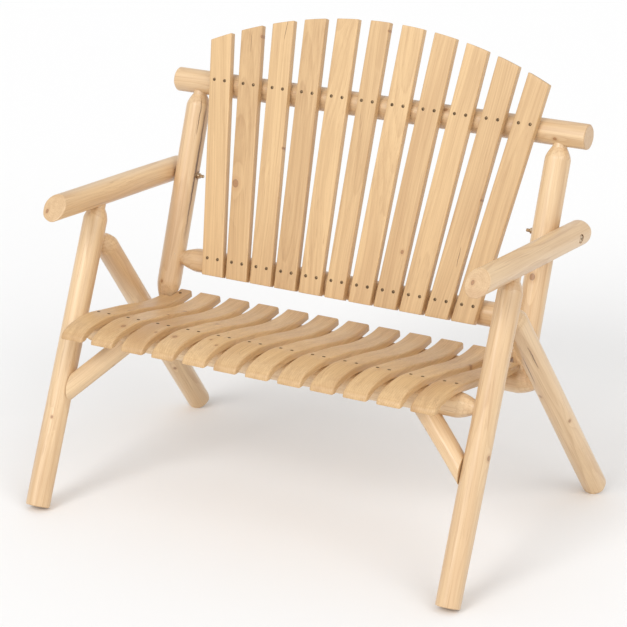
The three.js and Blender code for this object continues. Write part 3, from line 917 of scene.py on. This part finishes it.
def metal(name, base, dull, rough, rim=None):
    """Plated steel with fine scratches and a duller film in patches, darkened with painted shade
    towards its rim and in its cross recess.
    """
    t = Tree(name)
    where = t.nodes.new("ShaderNodeTexCoord").outputs["Object"]
    film = t.noise(t.vec("SCALE", where, 260), 4, 0.6)
    fine = t.noise(t.vec("MULTIPLY", where, (2200, 900, 900)), 3, 0.6)
    colour = t.mix(t.ramp(film, 0.4, 0.68), (*base, 1), (*dull, 1))
    if rim:
        # painted shade towards a screw head's rim and in its cross recess
        colour = t.mix(t.ramp(t.attribute("rim", "Fac"), 0.66, 0.92), colour, (*rim, 1))
    t.put(t.shader.inputs["Base Color"], colour)
    t.shader.inputs["Metallic"].default_value = 0.9
    t.put(t.shader.inputs["Roughness"], t.total(t.scaled(film, 0.3, 0.5), rough))
    t.put(t.shader.inputs["Normal"], t.bump(fine, 0.04 * MM, 0.5))
    return t.material


MATERIAL["pole"] = wood(
    "pole_wood", light=(0.775, 0.557, 0.322), dark=(0.52, 0.315, 0.155), ring_gap=4 * MM,
    ring_depth=0.30, patch=0.75, gloss=0.40, ends=0.7, coat=0.75)
MATERIAL["slat"] = wood(
    "slat_wood", light=(0.715, 0.482, 0.242), dark=(0.45, 0.262, 0.115), ring_gap=5 * MM,
    ring_depth=0.26, patch=0.70, gloss=0.42, ends=0.3, coat=0.4)
MATERIAL["steel"] = metal("steel", (0.66, 0.52, 0.36), (0.40, 0.27, 0.16), 0.32)
MATERIAL["pin"] = metal("pin_steel", (0.72, 0.68, 0.60), (0.5, 0.45, 0.38), 0.25)
# the screws' last colour is painted shade for their rims and cross recesses
MATERIAL["screw"] = metal("screw_steel", (0.30, 0.20, 0.11), (0.15, 0.095, 0.05), 0.42,
                          rim=(0.035, 0.022, 0.014))

# ---- build the poles ---------------------------------------------------------------------------
UP, RIGHT, BACK = (0, 0, 1), (1, 0, 0), (0, 1, 0)


def leg_top(r):
    return tenon(18, 17, 27, r)


def rear_head(r):
    return tenon(14, 12, 37, r)


def post_top(r):
    return tenon(22, 16.5, 28, r)


def post_foot(r):
    return tenon(28, 13, 50, r)


def rail_end(r):
    return tenon(22, 15, 42, r)


def arm_end(r):
    steps = ((0, 14), (1, 11.4), (2.5, 8.8), (4.5, 6.2), (7, 4.1), (10, 2.4), (14, 1), (20, 0))
    return [(d * MM, r - less * MM) for d, less in steps]


def plain_end(r):
    return [(0, r - 1 * MM), (1 * MM, r)]


def post_surface(word, side):
    """Where the small pin sits: on the post's front, low down, and the way it faces."""
    centre, axis, radius, _, _ = shaft(f"back_post_{word}", UP)
    wanted = np.array((centre[0] - side * PIN_SPOT[0], *PIN_SPOT[1:]))
    on_axis = centre + axis * (wanted - centre).dot(axis)
    out = wanted - on_axis
    out /= np.linalg.norm(out)
    return on_axis + out * (radius - 0.2 * MM), out


for word, side in (("left", -1), ("right", 1)):
    add_pole(f"front_leg_{word}", UP, sawn, leg_top, faceted=True)
    add_pole(f"rear_leg_{word}", UP, sawn, rear_head, faceted=True)
    low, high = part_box(f"arm_bolt_{word}")
    _, by, bz = (low + high) / 2
    inner, outer = (high.x, low.x) if side < 0 else (low.x, high.x)  # the bolt's tip and its head
    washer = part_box(f"arm_washer_{word}")
    post_face = washer[0 if side > 0 else 1].x
    add_pole(f"back_post_{word}", UP, post_foot, post_top, faceted=True,
             holes=[rod(inner, post_face, by, bz, BOLT_RECESS)], hole_at=[(by, bz)])
    pin_verts, pin_faces = turned(PIN_HEAD, 24)
    pin_verts = placed(pin_verts, *post_surface(word, side), 0)
    pin = make_object(f"post_pin_{word}", pin_verts, pin_faces)
    dress(pin, "pin", angle=50)
    centre, axis, *_ = shaft(f"armrest_{word}", BACK)
    at_front = centre + axis * ((ARM_FRONT - centre[1]) / axis[1])
    sloped = (at_front, (0, math.cos(NOSE_TILT), -math.sin(NOSE_TILT)))
    add_pole(f"armrest_{word}", BACK, sawn, arm_end, cuts=(sloped, None),
             holes=[rod(outer - side * HEAD_DEPTH, outer + side * 30 * MM, by, bz, BOLT_RECESS)],
             hole_at=[(by, bz)])
    mitre = ((side * MITRE_X, 0, 0), (1, 0, 0))
    add_pole(f"brace_{word}", UP, plain_end, plain_end, cuts=(mitre, None))

    outwards = (side, 0, 0)
    length = abs(outer - inner) - HEAD_DEPTH - 1 * MM
    shank_verts, shank_faces = threaded(length, BOLT_R)
    head_verts, head_faces = turned(BOLT_HEAD, 48)
    add_fixing(f"arm_bolt_{word}",
               (placed(shank_verts * (1, 1, -1) + (0, 0, length), (inner, by, bz), outwards, 0),
                shank_faces),
               (placed(head_verts, (outer - side * HEAD_DEPTH, by, bz), outwards, 0), head_faces))
    disc_verts, disc_faces = annulus(WASHER)
    add_fixing(f"arm_washer_{word}",
               (placed(disc_verts, (washer[0].x, by, bz), RIGHT, 0), disc_faces))
    low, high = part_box(f"arm_nut_{word}")
    nut_verts, nut_faces = hexagon(NUT_R, high.x - low.x)
    add_fixing(f"arm_nut_{word}", (placed(nut_verts, (low.x, by, bz), RIGHT, NUT_TURN), nut_faces))
for rail in ("top_rail", "lower_back_rail", "front_seat_rail", "rear_seat_rail"):
    end = sawn if rail == "top_rail" else rail_end
    add_pole(rail, RIGHT, end, end, faceted=True)

for k in range(BACK_SLATS):
    back_slat(k)
for k in range(SEAT_SLATS):
    seat_slat(k)

# ---- floor, light, camera ----------------------------------------------------------------------
FLOOR = 30  # half its side
floor = make_object("floor", [(x * FLOOR, y * FLOOR, 0) for x, y in
                              ((-1, -1), (1, -1), (1, 1), (-1, 1))], [(0, 1, 2, 3)])
pale = Tree("pale_floor")
pale.shader.inputs["Base Color"].default_value = (0.9, 0.9, 0.9, 1)
pale.shader.inputs["Roughness"].default_value = 0.9
floor.data.materials.append(pale.material)

world = bpy.data.worlds.new("studio")
world.use_nodes = True
world.node_tree.nodes["Background"].inputs[0].default_value = (1, 1, 1, 1)
world.node_tree.nodes["Background"].inputs[1].default_value = 0.72
bpy.context.scene.world = world
bpy.context.scene.view_settings.view_transform = "Standard"


def sun(name, azimuth, elevation, strength, soft):
    """A soft distant light: azimuth is where it stands, from the front (-Y) towards the right."""
    lamp = bpy.data.lights.new(name, "SUN")
    lamp.energy, lamp.angle = strength, math.radians(soft)
    o = bpy.data.objects.new(name, lamp)
    a, e = math.radians(azimuth), math.radians(elevation)
    place = Vector((math.sin(a) * math.cos(e), -math.cos(a) * math.cos(e), math.sin(e)))
    o.rotation_euler = place.to_track_quat("Z", "Y").to_euler()
    bpy.context.scene.collection.objects.link(o)


sun("key", -10, 36, 1.22, 26)
sun("fill", 62, 36, 0.88, 40)

AZIMUTH, ELEVATION, ROLL = (math.radians(a) for a in (29.988, 20.044, -0.371))
AIM, DISTANCE = np.array((0.1399, -0.2412, 0.5570)), 5.2498
back = np.array((math.sin(AZIMUTH) * math.cos(ELEVATION), -math.cos(AZIMUTH) * math.cos(ELEVATION),
                 math.sin(ELEVATION)))
level = np.array((math.cos(AZIMUTH), math.sin(AZIMUTH), 0))
above = np.cross(back, level)
right = level * math.cos(ROLL) + above * math.sin(ROLL)
up = np.cross(back, right)
camera = bpy.data.objects.new("camera", bpy.data.cameras.new("camera"))
camera.data.sensor_width, camera.data.lens = 36, 141.98
camera.data.clip_end = 100
place = Matrix.Identity(4)
for i, axis in enumerate((right, up, back, AIM + back * DISTANCE)):
    for j in range(3):
        place[j][i] = axis[j]
camera.matrix_world = place
bpy.context.scene.collection.objects.link(camera)
bpy.context.scene.camera = camera
